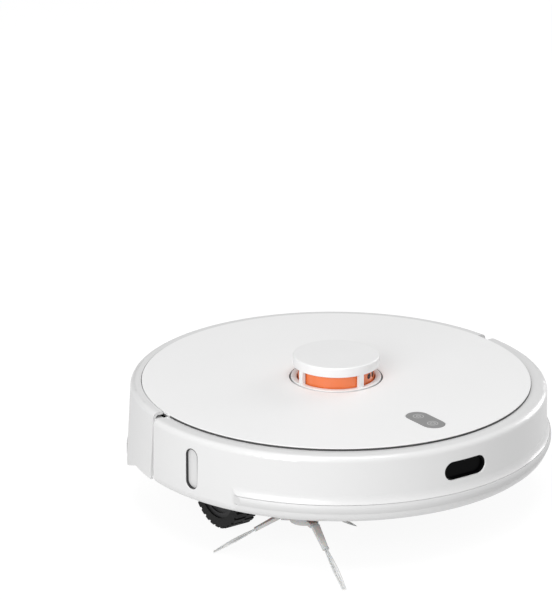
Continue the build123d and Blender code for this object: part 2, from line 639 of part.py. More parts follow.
def tyre():
    x0, x1 = WHEEL_X - WHEEL_W / 2, WHEEL_X + WHEEL_W / 2
    ring = rod(WHEEL_R, x0, x1, AXLE_Y, AXLE_Z) - rod(26.5, x0 - 1, x1 + 1, AXLE_Y, AXLE_Z)
    for k in range(LUGS):
        for half in (0, 1):
            mid = x0 + WHEEL_W * (0.25 + 0.5 * half)
            notch = Pos(mid, WHEEL_R, 0) * Box(WHEEL_W * 0.5, 3.4, 2.6)
            turn = (k + 0.5 * half) * 360 / LUGS + 3
            ring -= Pos(0, AXLE_Y, AXLE_Z) * Rot(turn, 0, 0) * notch
    return ring


def suspension_spring():
    """Coil spring between the well's roof and the arm, drawn as its outer sleeve."""
    return tube(4.2, 2.4, SPRING_LOW, WELL_TOP, SPRING_X, SPRING_Y)


SPRING_X, SPRING_Y, SPRING_LOW = 93.5, -30.0, 56.7


# ---------------------------------------------------------------- caster
def caster_fork():
    axle_y = CASTER_Y + CASTER_TRAIL
    body = cyl(17.3, 33.5, 60.5, 0, CASTER_Y) + cyl(3.0, 60, 67, 0, CASTER_Y)
    body = body - rod(CASTER_R + 0.9, -5.7, 5.7, axle_y, CASTER_Z)
    body -= block(-5.7, 5.7, axle_y - 12.9, axle_y + 12.9, 30, CASTER_Z)
    axle = rod(1.5, -11, 11, axle_y, CASTER_Z)
    body -= rod(1.5, -11, 11, axle_y, CASTER_Z)
    return Compound(children=[*body.solids(), axle])


def caster_wheel():
    axle_y = CASTER_Y + CASTER_TRAIL
    wheel = rod(CASTER_R, -5.2, 5.2, axle_y, CASTER_Z)
    wheel = fillet(wheel.edges().filter_by(GeomType.CIRCLE), 1.6)
    return wheel - rod(1.56, -8, 8, axle_y, CASTER_Z)


# ---------------------------------------------------------------- side brush
def side_brush_hub():
    hub = cyl(11.5, ARM_Z - 2.6, ARM_Z + 4.0) + cyl(8.0, ARM_Z - 4.4, ARM_Z - 2.6)
    hub = fillet(hub.edges().group_by(Axis.Z)[0], 1.0)
    for k in range(3):
        stub = block(8, ARM_START - 1.7, -3.6, 3.6, ARM_Z - 1.8, ARM_Z + 1.8)
        hub += Rot(0, 0, ARM_FIRST + 120 * k) * stub
    hub -= cyl(2.66, ARM_Z - 1.6, ARM_Z + 5)
    hub -= cyl(2.9, ARM_Z - 6, ARM_Z - 3.4)
    screw = cyl(2.8, ARM_Z - 4.2, ARM_Z - 3.4)
    screw -= block(-1.9, 1.9, -0.4, 0.4, ARM_Z - 6, ARM_Z - 3.9)
    place = Pos(BRUSH_X, BRUSH_Y, 0)
    return Compound(children=[*(place * hub).solids(), place * screw])


def on_arm(shape, k):
    """Puts a piece drawn along +X from the flex line into place on arm k."""
    return (Pos(BRUSH_X, BRUSH_Y, 0) * Rot(0, 0, ARM_FIRST + 120 * k)
            * Pos(ARM_START, 0, ARM_Z) * Rot(0, ARM_DROP, 0) * shape)


ARM_LONG = (ARM_END - ARM_START) / math.cos(math.radians(ARM_DROP))
REACH = (TIP_R - ARM_START) / math.cos(math.radians(ARM_DROP))


def side_brush_arm(k):
    root = Plane(origin=(-0.4, 0, 0), x_dir=(0, 1, 0), z_dir=(1, 0, 0)) * Rectangle(7.0, 3.2)
    end = Plane(origin=(ARM_LONG, 0, 0), x_dir=(0, 1, 0), z_dir=(1, 0, 0)) * Rectangle(5.0, 2.6)
    stem = loft([root, end])
    stem = fillet(stem.edges().filter_by(lambda e: abs(e.tangent_at(0.5).X) > 0.9), 0.9)
    return on_arm(stem, k)


def side_brush_bristles(k):
    root = Plane(origin=(ARM_LONG, 0, 0), x_dir=(0, 1, 0), z_dir=(1, 0, 0)) * Rectangle(3.2, 1.6)
    end = Plane(origin=(REACH, 0, 0), x_dir=(0, 1, 0), z_dir=(1, 0, 0)) * Rectangle(4.6, 1.3)
    return on_arm(loft([root, end]), k)


# ---------------------------------------------------------------- roller brush
def main_brush_core():
    """Roller core with its journals and the toothed wheel moulded on its drive end."""
    core = rod(9.0, -ROLLER_HALF, ROLLER_HALF, ROLLER_Y, ROLLER_Z)
    core += rod(2.5, -ROLLER_HALF - 4, BELT_X - 2, ROLLER_Y, ROLLER_Z)
    return core + rod(ROLLER_PULLEY_R, BELT_X - 2.5, BELT_X + 2.5, ROLLER_Y, ROLLER_Z)


FINS = 6


def fin(k, r0, r1, thick):
    half = ROLLER_HALF - 3
    bar = block(-half, half, r0, r1, -thick / 2, thick / 2)
    return Pos(0, ROLLER_Y, ROLLER_Z) * Rot(60 * k + 15, 0, 0) * bar


def main_brush_bristles():
    return Compound(children=[fin(k, 9.02, ROLLER_R, 3.0) for k in range(FINS)])


def drive_pulley():
    wheel = rod(DRIVE_PULLEY_R, BELT_X - 2.5, BELT_X + 2.5, DRIVE_Y, DRIVE_Z)
    return wheel + rod(1.5, ROLLER_HALF + 3.6, BELT_X - 2, DRIVE_Y, DRIVE_Z)


def brush_guard():
    """Removable frame round the roller's opening: ramp in front, two grip tabs."""
    y0, y1 = ROLLER_Y - 30.7, ROLLER_Y + 30.7
    low = FLOOR - 8.5
    section = outline((y0, FLOOR), (y0 + 12, low), (y1 - 8, low), (y1, FLOOR), (y1, FLOOR + SHEET),
                      (y0, FLOOR + SHEET))
    plane = Plane(origin=(-97.6, 0, 0), x_dir=(0, 1, 0), z_dir=(1, 0, 0))
    guard = extrude(plane * section, 2 * 97.6)
    guard -= block(-ROLLER_HALF - 2, ROLLER_HALF + 2, ROLLER_Y - 22.5, ROLLER_Y + 22.5, 0, TOP)
    guard -= block(ROLLER_HALF + 4.6, 94.4, ROLLER_Y - 26, ROLLER_Y + 13.2, FLOOR - 6.5, TOP)
    guard -= rod(5.4, 80, 95, ROLLER_Y, ROLLER_Z)
    guard -= rod(5.4, -95, -80, ROLLER_Y, ROLLER_Z)
    for x in (-60, 60):
        guard -= block(x - 8, x + 8, y1 - 4, y1 + 1, low - 1, FLOOR - 2)
    return guard


# ---------------------------------------------------------------- dust bin and tank
BIN_R = CHASSIS_R - 3.2          # the bin's rear wall inside the chassis
LATCH_HALF = 20.0
FILTER = (62.0, 69.9, 92.0, 140.0, 56.0, 82.0)


def dustbin_body():
    shape = block(-BIN_HALF_W, BIN_HALF_W, BIN_FRONT, 190, BIN_LOW, BIN_HIGH)
    shape = shape & cyl(BIN_R + 5.0, 0, TOP)
    hollow = block(-BIN_HALF_W + 2, BIN_HALF_W - 2, BIN_FRONT + 2, 190, BIN_LOW + 2, BIN_HIGH + 1)
    shape -= hollow & cyl(BIN_R - 1, 0, TOP)
    inner = CHASSIS_R + 0.8
    bin_ = shape + turned(outline((inner, BIN_LOW), (face_r(BIN_LOW), BIN_LOW),
                                  (face_r(BIN_HIGH), BIN_HIGH), (inner, BIN_HIGH)),
                          REAR - BIN_FACE_HALF, 2 * BIN_FACE_HALF)
    bin_ -= block(-58, 58, BIN_FRONT - 1, BIN_FRONT + 3, DUCT_LOW, DUCT_HIGH)
    bin_ -= block(BIN_HALF_W - 3, BIN_HALF_W + 1, FILTER[2] + 2, FILTER[3] - 2, FILTER[4] + 2,
                  FILTER[5] - 2)
    pocket_y = BIN_R - 12
    bin_ -= block(-LATCH_HALF, LATCH_HALF, pocket_y, 190, BIN_HIGH - 14, BIN_HIGH + 1)
    pocket = block(-LATCH_HALF - 2, LATCH_HALF + 2, pocket_y - 2, 190, BIN_HIGH - 16, BIN_HIGH - 2.2)
    pocket -= block(-LATCH_HALF, LATCH_HALF, pocket_y, 190, BIN_HIGH - 14, BIN_HIGH)
    return bin_ + (pocket & cyl(BIN_R + 1.0, 0, TOP))


def face_r(z):
    """Radius of the rear wall's outer face at a height."""
    top_z = TOP - 0.5 - RIM_ROUND
    return REAR_R + (top_z - z) / (top_z - SKIRT_BOTTOM) * (REAR_LOW_R - REAR_R)


def dustbin_lid():
    lid = block(-BIN_HALF_W + 2.2, BIN_HALF_W - 2.2, BIN_FRONT + 2.4, 190, BIN_HIGH - 2, BIN_HIGH)
    lid = lid & cyl(BIN_R - 14.5, 0, TOP)
    for k in range(5):
        lid -= block(-30, 30, 104 + 6 * k, 105.6 + 6 * k, BIN_HIGH - 0.8, BIN_HIGH + 1)
    return lid


def dustbin_filter():
    """Pleated paper in a frame, behind the window in the bin's side."""
    x0, x1, y0, y1, z0, z1 = FILTER
    frame = block(*FILTER) - block(x0 - 1, x1 + 1, y0 + 3, y1 - 3, z0 + 3, z1 - 3)
    frame += block(x0, x0 + 0.8, y0 + 2, y1 - 2, z0 + 2, z1 - 2)
    for k in range(13):
        y = y0 + 5 + 3.1 * k
        frame += block(x0 + 0.5, x1 - 1, y, y + 1.2, z0 + 2.5, z1 - 2.5)
    return frame


def dustbin_latch():
    """Thumb catch in the bin's rear face."""
    half = LATCH_HALF - 1.2
    low, high = BIN_HIGH - 13, BIN_HIGH - 0.6
    profile = turned(outline((0, low), (face_r(low) - 0.6, low), (face_r(high) - 0.6, high), (0, high)))
    latch = block(-half, half, BIN_R - 6, 190, low, high) & profile
    return latch - block(-half + 5, half - 5, BIN_R - 7, BIN_R - 2, low + 3, high + 1)


def water_tank():
    wall = turned(outline((0, TANK_LOW), (REAR_LOW_R - 4, TANK_LOW),
                          (round_mid(REAR_LOW_R - 4, TANK_LOW + 4, 4, -45),
                           (REAR_LOW_R, TANK_LOW + 4)),
                          (REAR_LOW_R, TANK_HIGH), (0, TANK_HIGH)),
                  REAR - TANK_HALF, 2 * TANK_HALF)
    tank = wall & block(-200, 200, TANK_FRONT, 200, 0, TOP)
    hollow = turned(outline((0, TANK_LOW + 2), (REAR_LOW_R - 4, TANK_LOW + 2),
                            (REAR_LOW_R - 4, TANK_HIGH - 2), (0, TANK_HIGH - 2)),
                    REAR - TANK_HALF + 8, 2 * TANK_HALF - 16)
    tank -= hollow & block(-118, 118, TANK_FRONT + 3, 200, 0, TOP)
    tank -= cyl(7.0, TANK_HIGH - 4, TANK_HIGH + 1, TANK_PORT_X, TANK_PORT_Y)
    return tank


TANK_PORT_X, TANK_PORT_Y = 70.0, 112.0


def tank_plug():
    plug = cyl(6.9, TANK_HIGH - 3.2, TANK_HIGH - 0.1, TANK_PORT_X, TANK_PORT_Y)
    plug -= cyl(4.5, TANK_HIGH - 4, TANK_HIGH - 1.4, TANK_PORT_X, TANK_PORT_Y)
    return plug


def fan_impeller():
    low = FAN_LOW + 12.8
    wheel = cyl(17.5, low, low + 1.6, FAN_X, FAN_Y) + cyl(5.5, low, low + 9, FAN_X, FAN_Y)
    for k in range(9):
        blade = block(5, 17.3, -0.6, 0.6, low + 1, low + 8.5)
        wheel += Pos(FAN_X, FAN_Y, 0) * Rot(0, 0, 40 * k) * blade
    return wheel - cyl(1.56, low - 1, low + 20, FAN_X, FAN_Y)


# ---------------------------------------------------------------- write the nodes
def both_sides(make):
    """A piece of the +X side, and its mirror image for the other side."""
    left = make()
    return left, mirror(left, Plane.YZ)


def main():
    os.makedirs("parts", exist_ok=True)
    single = [lower_chassis, rear_shell, top_plate, upper_deck, brush_chamber,
              main_brush_motor, main_brush_belt, battery_pack, battery_cover, main_board,
              lidar_base, lidar_motor, lidar_belt, side_brush_gearbox, caster_socket,
              charge_contacts, cliff_sensor_lenses, chassis_screws, fan_housing, bumper_shell,
              bumper_strip, front_ir_window, wall_sensor_window, lidar_cap, lidar_rotor,
              lidar_lenses, lidar_pulley, control_button, caster_fork, caster_wheel,
              side_brush_hub, main_brush_core, main_brush_bristles,
              drive_pulley, brush_guard, dustbin_body, dustbin_lid, dustbin_filter,
              dustbin_latch, water_tank, tank_plug, fan_impeller]
    nodes = {make.__name__: make() for make in single}
    for make in (wheel_well, wheel_arm, wheel_motor, wheel_hub, tyre, suspension_spring):
        nodes["left_" + make.__name__], nodes["right_" + make.__name__] = both_sides(make)
    for k in range(3):
        nodes[f"side_brush_arm_{k + 1}"] = side_brush_arm(k)
        nodes[f"side_brush_bristles_{k + 1}"] = side_brush_bristles(k)
    for name, shape in nodes.items():
        export_step(shape, f"parts/{name}.step")


main()
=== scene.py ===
# %% [markdown]
# # Finishing a robot vacuum cleaner
# This notebook dresses a robot vacuum whose working parts already exist as exact CAD solids. Blender
# gives every surface a finish, and models the few pieces that a solid modeller makes too plain: coil
# springs, tufts of bristles, rubber blades and signs on the button. It also adds painted shade, as thin
# black bands in the seams and a dark liner in a side slot, and a painted glow on the orange rotor.
# Lengths are in metres. The row frame has +Z up and the robot's front towards -Y.

# %% Load the imported frame
import bpy
import json
import math
import random
from mathutils import Matrix, Vector


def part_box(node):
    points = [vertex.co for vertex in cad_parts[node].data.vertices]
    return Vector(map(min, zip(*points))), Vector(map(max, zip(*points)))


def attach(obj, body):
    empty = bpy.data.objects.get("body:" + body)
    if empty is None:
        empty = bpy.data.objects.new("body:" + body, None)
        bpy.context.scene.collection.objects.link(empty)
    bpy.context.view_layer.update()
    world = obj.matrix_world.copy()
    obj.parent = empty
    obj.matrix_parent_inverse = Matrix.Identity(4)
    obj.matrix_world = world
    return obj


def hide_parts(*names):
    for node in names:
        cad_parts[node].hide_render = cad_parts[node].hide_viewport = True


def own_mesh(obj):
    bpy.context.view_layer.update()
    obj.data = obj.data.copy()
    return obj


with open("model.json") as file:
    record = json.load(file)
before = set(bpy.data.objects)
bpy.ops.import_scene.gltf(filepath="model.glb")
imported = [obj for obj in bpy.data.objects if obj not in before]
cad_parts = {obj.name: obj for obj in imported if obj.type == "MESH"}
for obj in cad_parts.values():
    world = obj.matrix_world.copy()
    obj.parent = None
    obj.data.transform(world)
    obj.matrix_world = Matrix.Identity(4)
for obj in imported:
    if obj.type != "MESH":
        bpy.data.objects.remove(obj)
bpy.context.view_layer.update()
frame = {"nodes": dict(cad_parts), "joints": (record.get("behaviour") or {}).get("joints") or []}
MM = 0.001
JOINTS = {joint["name"]: joint for joint in frame["joints"]}


# %% [markdown]
# ## The camera
# A long lens from a little above the front right shows the lid as a flat oval with hardly any
# perspective, as product pictures do. The camera is placed from the middle of the lid: first straight
# back along the line of sight, then sideways and down, so that the robot stands low and right of centre.

# %% Camera
CAMERA_AZIMUTH, CAMERA_ELEVATION = math.radians(-34.5), math.radians(18.68)
CAMERA_DISTANCE = 2.3
LENS_MM, SENSOR_MM = 166.3, 36.0
LID_RIGHT_OF_AXIS, LID_ABOVE_AXIS = 0.04979, -0.06324


def place_camera():
    """A camera whose axis passes beside the lid's centre by the two offsets."""
    lid_centre = Vector((0, 0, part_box("top_plate")[1][2]))
    flat = math.cos(CAMERA_ELEVATION)
    forward = Vector((-math.sin(CAMERA_AZIMUTH) * flat, math.cos(CAMERA_AZIMUTH) * flat,
                      -math.sin(CAMERA_ELEVATION)))
    right = Vector((math.cos(CAMERA_AZIMUTH), math.sin(CAMERA_AZIMUTH), 0))
    up = right.cross(forward)
    camera = bpy.data.objects.new("camera", bpy.data.cameras.new("camera"))
    bpy.context.scene.collection.objects.link(camera)
    camera.data.lens = LENS_MM
    camera.data.sensor_width = SENSOR_MM
    camera.data.clip_start, camera.data.clip_end = 0.1, 60
    camera.matrix_world = Matrix((right, up, -forward)).transposed().to_4x4()
    camera.location = (lid_centre - right * LID_RIGHT_OF_AXIS - up * LID_ABOVE_AXIS
                       - forward * CAMERA_DISTANCE)
    bpy.context.scene.camera = camera
    print("camera at", [round(c, 3) for c in camera.location])


place_camera()


# %% [markdown]
# ## Floor and light
# White plastic on a white floor shows its shape only by soft grey shading. So the room is an even sky,
# one large lamp on the left for the lit side, and one of about the same power above for the lid. The front
# gets none of its own and shades off to grey, until a small rim lamp on the far right catches its edge. The
# floor glows, so that it stays white, but more for the camera than for the robot that stands on it.

# %% Stage and lights
FLOOR_SIZE = 60.0
FLOOR_GREY = 0.13
FLOOR_GLOW_SEEN = 0.92
FLOOR_GLOW_ON_ROBOT = 0.66
SKY_STRENGTH = 0.30
LAMP_AIM = (0, 0, 0.06)
LAMPS = (("key", (-2.1, -1.12, 1.1), 1.6, 38), ("top", (-0.3, -0.5, 2.5), 1.6, 34),
         ("rim", (1.9, 0.2, 0.6), 1.0, 13))


def add_floor():
    """A wide floor that glows more in the camera's own rays than on what stands on it."""
    bpy.ops.object.select_all(action="DESELECT")
    bpy.ops.mesh.primitive_plane_add(size=FLOOR_SIZE)
    floor = bpy.context.object
    floor.name = "floor"
    paint = bpy.data.materials.new("pale_floor")
    paint.use_nodes = True
    shader = paint.node_tree.nodes["Principled BSDF"]
    shader.inputs["Base Color"].default_value = (FLOOR_GREY, FLOOR_GREY, FLOOR_GREY, 1)
    shader.inputs["Emission Color"].default_value = (1, 1, 1, 1)
    shader.inputs["Roughness"].default_value = 0.9
    shader.inputs["Specular IOR Level"].default_value = 0.1
    path = paint.node_tree.nodes.new("ShaderNodeLightPath")
    glow = paint.node_tree.nodes.new("ShaderNodeMapRange")
    glow.inputs["To Min"].default_value = FLOOR_GLOW_ON_ROBOT
    glow.inputs["To Max"].default_value = FLOOR_GLOW_SEEN
    paint.node_tree.links.new(path.outputs["Is Camera Ray"], glow.inputs["Value"])
    paint.node_tree.links.new(glow.outputs["Result"], shader.inputs["Emission Strength"])
    floor.data.materials.append(paint)


def add_lamp(name, place, size, power):
    """A square soft box at place, turned towards the robot."""
    lamp = bpy.data.objects.new(name, bpy.data.lights.new(name, "AREA"))
    bpy.context.scene.collection.objects.link(lamp)
    lamp.data.shape = "SQUARE"
    lamp.data.size = size
    lamp.data.energy = power
    lamp.location = place
    lamp.rotation_euler = (Vector(LAMP_AIM) - Vector(place)).to_track_quat("-Z", "Y").to_euler()


def set_sky(strength):
    """An even white sky."""
    world = bpy.data.worlds.new("studio")
    bpy.context.scene.world = world
    world.use_nodes = True
    background = world.node_tree.nodes["Background"]
    background.inputs["Color"].default_value = (1, 1, 1, 1)
    background.inputs["Strength"].default_value = strength


add_floor()
set_sky(SKY_STRENGTH)
for name, place, size, power in LAMPS:
    add_lamp(name, place, size, power)
bpy.context.scene.view_settings.view_transform = "Standard"


# %% [markdown]
# ## Effects that several finishes share
# Moulded plastic is never one flat colour: the tool's texture, flow of the melt and handling change it a
# little from place to place. Each such effect is a node group with named inputs, built once here and
# placed in every finish with its own values. All of them read Object coordinates, so a pattern stays
# fixed to its piece at its true scale.

# %% Helpers for node trees
def add_node(tree, kind, **values):
    """A node of a kind, with its inputs set by name."""
    node = tree.nodes.new(kind)
    for name, value in values.items():
        node.inputs[name].default_value = value
    return node


def new_group(name, inputs, outputs):
    """An empty shader group. inputs holds (name, type, default), outputs holds (name, type)."""
    group = bpy.data.node_groups.new(name, "ShaderNodeTree")
    for label, kind, default in inputs:
        socket = group.interface.new_socket(label, in_out="INPUT", socket_type="NodeSocket" + kind)
        socket.default_value = default
    for label, kind in outputs:
        group.interface.new_socket(label, in_out="OUTPUT", socket_type="NodeSocket" + kind)
    return group, group.nodes.new("NodeGroupInput"), group.nodes.new("NodeGroupOutput")


def mapped_position(tree, source):
    """Object coordinates times the group's Cells per metre."""
    place = tree.nodes.new("ShaderNodeTexCoord")
    scaled = tree.nodes.new("ShaderNodeVectorMath")
    scaled.operation = "SCALE"
    tree.links.new(place.outputs["Object"], scaled.inputs[0])
    tree.links.new(source, scaled.inputs["Scale"])
    return scaled.outputs["Vector"]


# %% Group: grain of a textured tool
def make_grain_group():
    """Height of the fine leather-like texture that spark erosion leaves in a mould."""
    group, source, sink = new_group("tool_grain", [("Cells per metre", "Float", 900.0)],
                                    [("Height", "Float")])
    place = mapped_position(group, source.outputs["Cells per metre"])
    cells = add_node(group, "ShaderNodeTexVoronoi", Scale=1.0, Randomness=1.0)
    cells.feature = "SMOOTH_F1"
    fine = add_node(group, "ShaderNodeTexNoise", Scale=2.6, Detail=2.0, Roughness=0.6)
    total = group.nodes.new("ShaderNodeMath")
    total.operation = "ADD"
    for texture in (cells, fine):
        group.links.new(place, texture.inputs["Vector"])
    group.links.new(cells.outputs["Distance"], total.inputs[0])
    group.links.new(fine.outputs["Fac"], total.inputs[1])
    group.links.new(total.outputs["Value"], sink.inputs["Height"])
    return group


# %% Group: slow drift of colour and gloss
def make_drift_group():
    """Colour between two tones, and a roughness that wanders, both over a slow noise."""
    inputs = [("Tone", "Color", (0.8, 0.8, 0.8, 1)), ("Other tone", "Color", (0.7, 0.7, 0.7, 1)),
              ("Roughness", "Float", 0.4), ("Spread", "Float", 0.05), ("Cells per metre", "Float", 18.0)]
    group, source, sink = new_group("tone_drift", inputs, [("Color", "Color"), ("Roughness", "Float")])
    place = mapped_position(group, source.outputs["Cells per metre"])
    noise = add_node(group, "ShaderNodeTexNoise", Scale=1.0, Detail=4.0, Roughness=0.55)
    group.links.new(place, noise.inputs["Vector"])
    mix = group.nodes.new("ShaderNodeMix")
    mix.data_type = "RGBA"
    group.links.new(noise.outputs["Fac"], mix.inputs["Factor"])
    group.links.new(source.outputs["Tone"], mix.inputs["A"])
    group.links.new(source.outputs["Other tone"], mix.inputs["B"])
    centred = add_node(group, "ShaderNodeMath")
    centred.operation = "SUBTRACT"
    centred.inputs[1].default_value = 0.5
    group.links.new(noise.outputs["Fac"], centred.inputs[0])
    wander = group.nodes.new("ShaderNodeMath")
    wander.operation = "MULTIPLY_ADD"
    group.links.new(centred.outputs["Value"], wander.inputs[0])
    group.links.new(source.outputs["Spread"], wander.inputs[1])
    group.links.new(source.outputs["Roughness"], wander.inputs[2])
    group.links.new(mix.outputs["Result"], sink.inputs["Color"])
    group.links.new(wander.outputs["Value"], sink.inputs["Roughness"])
    return group


GRAIN = make_grain_group()
DRIFT = make_drift_group()
print("shared effects", GRAIN.name, DRIFT.name)


# %% [markdown]
# ## Finishes
# A finish here is one material: a Principled shader, the drift group for its colour and gloss, and the
# grain group as a bump where the tool was textured. Two numbers make the difference between plastics:
# the roughness, and how deep and how wide the grain is. What stays the same all over, such as a clear
# coat, is set on the shader itself.

# %% A finish of moulded plastic, rubber or metal
def finish(name, tone, other, roughness, spread=0.05, drift_cells=18.0, grain=None, **plain):
    """A material. grain is (depth in metres, cells per metre); plain sets the shader's own sockets."""
    material = bpy.data.materials.new(name)
    material.use_nodes = True
    tree = material.node_tree
    shader = tree.nodes["Principled BSDF"]
    drift = tree.nodes.new("ShaderNodeGroup")
    drift.node_tree = DRIFT
    drift.inputs["Tone"].default_value = (*tone, 1)
    drift.inputs["Other tone"].default_value = (*other, 1)
    drift.inputs["Roughness"].default_value = roughness
    drift.inputs["Spread"].default_value = spread
    drift.inputs["Cells per metre"].default_value = drift_cells
    tree.links.new(drift.outputs["Color"], shader.inputs["Base Color"])
    tree.links.new(drift.outputs["Roughness"], shader.inputs["Roughness"])
    if grain:
        depth, cells = grain
        texture = tree.nodes.new("ShaderNodeGroup")
        texture.node_tree = GRAIN
        texture.inputs["Cells per metre"].default_value = cells
        bump = add_node(tree, "ShaderNodeBump", Strength=1.0, Distance=depth)
        tree.links.new(texture.outputs["Height"], bump.inputs["Height"])
        tree.links.new(bump.outputs["Normal"], shader.inputs["Normal"])
    for socket, value in plain.items():
        shader.inputs[socket.replace("_", " ")].default_value = value
    return material


# %% [markdown]
# White first, because most of the robot is white. The shells are polished ABS under a clear gloss; the
# lid is a white from an etched tool, so it never mirrors; the bead along the bumper is a soft overmoulded
# rubber, a little greyer. The grain on the gloss is only the faint waviness called orange peel.

# %% White plastics
SHELL = finish("gloss_white_shell", (0.745, 0.745, 0.745), (0.765, 0.765, 0.765), 0.30, 0.05, 12.0,
               (0.00002, 160.0), Coat_Weight=0.35, Coat_Roughness=0.12)
LID = finish("etched_white_lid", (0.84, 0.84, 0.84), (0.86, 0.86, 0.86), 0.50, 0.06, 9.0,
             (0.00002, 1400.0))
BEAD = finish("soft_white_bead", (0.67, 0.67, 0.67), (0.69, 0.69, 0.69), 0.42, 0.05, 14.0,
              (0.00002, 1200.0))
CAP = finish("satin_white_cap", (0.83, 0.83, 0.83), (0.85, 0.85, 0.85), 0.38, 0.05, 20.0,
             (0.00002, 900.0), Coat_Weight=0.2, Coat_Roughness=0.2)
MILKY = finish("milky_sensor_window", (0.72, 0.72, 0.72), (0.74, 0.74, 0.74), 0.3, 0.04, 30.0,
               Coat_Weight=0.4, Coat_Roughness=0.1)

# %% [markdown]
# The dark plastics are the same resin in three textures. The belly has the coarse grain that hides
# scratches, the frames inside are smoother, and the windows are polished and black all through, because
# they let only infrared light pass.

# %% Dark plastics and rubbers
BELLY = finish("grained_black_belly", (0.022, 0.022, 0.024), (0.034, 0.034, 0.036), 0.46, 0.12, 22.0,
               (0.00012, 900.0))
FRAME = finish("moulded_dark_frame", (0.060, 0.060, 0.064), (0.085, 0.085, 0.09), 0.42, 0.10, 25.0,
               (0.00005, 1200.0))
HUB = finish("moulded_dark_hub", (0.019, 0.019, 0.020), (0.026, 0.026, 0.027), 0.5, 0.08, 30.0,
             (0.00005, 1500.0), Specular_IOR_Level=0.3)
DARK = finish("smooth_black_plastic", (0.014, 0.014, 0.015), (0.022, 0.022, 0.023), 0.4, 0.08, 40.0,
              (0.00003, 1200.0))
WINDOW = finish("infrared_black_window", (0.002, 0.002, 0.0022), (0.003, 0.003, 0.0033), 0.3, 0.03, 40.0,
                Specular_IOR_Level=0.05)
LENS = finish("dark_red_lens", (0.02, 0.002, 0.002), (0.03, 0.004, 0.003), 0.3, 0.02, 60.0,
              Specular_IOR_Level=0.15)
TYRE = finish("black_tyre_rubber", (0.010, 0.010, 0.010), (0.018, 0.018, 0.018), 0.62, 0.12, 60.0,
              (0.00008, 1600.0), Specular_IOR_Level=0.18)
BELT = finish("toothed_belt_rubber", (0.015, 0.015, 0.015), (0.022, 0.022, 0.022), 0.7, 0.1, 80.0,
              (0.0001, 900.0))
# A black for the two bands in the lid's seams, which are painted shade in those gaps.
SEAM_SHADE_BLACK = finish("black_seal_rubber", (0.045, 0.045, 0.045), (0.06, 0.06, 0.06), 0.6, 0.1, 60.0)
PLUG = finish("dark_plug_rubber", (0.05, 0.05, 0.055), (0.07, 0.07, 0.075), 0.65, 0.1, 60.0,
              (0.00005, 1500.0))

# %% Colours and metals
# The orange filter's faint emission is a painted glow: the rotor is no lamp.
ROTOR_WITH_PAINTED_GLOW = finish("orange_infrared_filter", (0.80, 0.17, 0.045), (0.84, 0.21, 0.06), 0.26, 0.05, 30.0,
               Coat_Weight=0.5, Coat_Roughness=0.16, Emission_Color=(1.0, 0.24, 0.07, 1),
               Emission_Strength=0.06)
BUTTON = finish("satin_grey_button", (0.25, 0.25, 0.25), (0.28, 0.28, 0.28), 0.42, 0.06, 40.0,
                (0.00002, 1600.0))
SIGN = finish("pale_light_guide", (0.52, 0.52, 0.52), (0.57, 0.57, 0.57), 0.32, 0.05, 60.0)
BLADE = finish("orange_roller_rubber", (0.62, 0.10, 0.03), (0.70, 0.14, 0.04), 0.55, 0.1, 50.0,
               (0.00006, 1400.0))
ARM = finish("translucent_grey_arm", (0.50, 0.50, 0.50), (0.58, 0.58, 0.58), 0.45, 0.08, 60.0,
             (0.00004, 1500.0), Subsurface_Weight=0.15)
BRISTLE = finish("clear_nylon_bristle", (0.66, 0.66, 0.65), (0.74, 0.74, 0.73), 0.35, 0.1, 300.0,
                 Subsurface_Weight=0.2)
ACETAL = finish("white_acetal_pulley", (0.70, 0.70, 0.67), (0.76, 0.76, 0.73), 0.35, 0.06, 60.0)
CELLS = finish("shrink_wrapped_cells", (0.02, 0.06, 0.20), (0.03, 0.08, 0.25), 0.30, 0.1, 60.0,
               (0.00008, 120.0), Coat_Weight=0.5, Coat_Roughness=0.1)
PAPER = finish("pleated_filter_paper", (0.72, 0.71, 0.68), (0.78, 0.77, 0.74), 0.85, 0.08, 200.0,
               (0.0002, 2500.0))
SMOKED = finish("smoked_bin_lid", (0.10, 0.10, 0.11), (0.12, 0.12, 0.13), 0.18, 0.05, 30.0,
                Coat_Weight=0.8, Coat_Roughness=0.05)
STEEL = finish("zinc_plated_can", (0.55, 0.55, 0.56), (0.64, 0.64, 0.65), 0.32, 0.12, 90.0,
               (0.00003, 2200.0), Metallic=1.0)
WIRE = finish("spring_wire", (0.50, 0.50, 0.50), (0.60, 0.60, 0.60), 0.28, 0.1, 400.0, Metallic=1.0)
SCREW = finish("blackened_screw", (0.14, 0.14, 0.145), (0.20, 0.20, 0.205), 0.35, 0.15, 300.0,
               Metallic=1.0)
NICKEL = finish("nickel_contact", (0.70, 0.66, 0.58), (0.78, 0.74, 0.66), 0.18, 0.1, 120.0,
                Metallic=1.0)


# %% [markdown]
# Two finishes change from one place of the piece to another. The circuit board is green lacquer with black
# chips standing on it, so height decides. The caster's wheel is half white and half black, because a
# light sensor counts its turns, so the side of the axle decides.

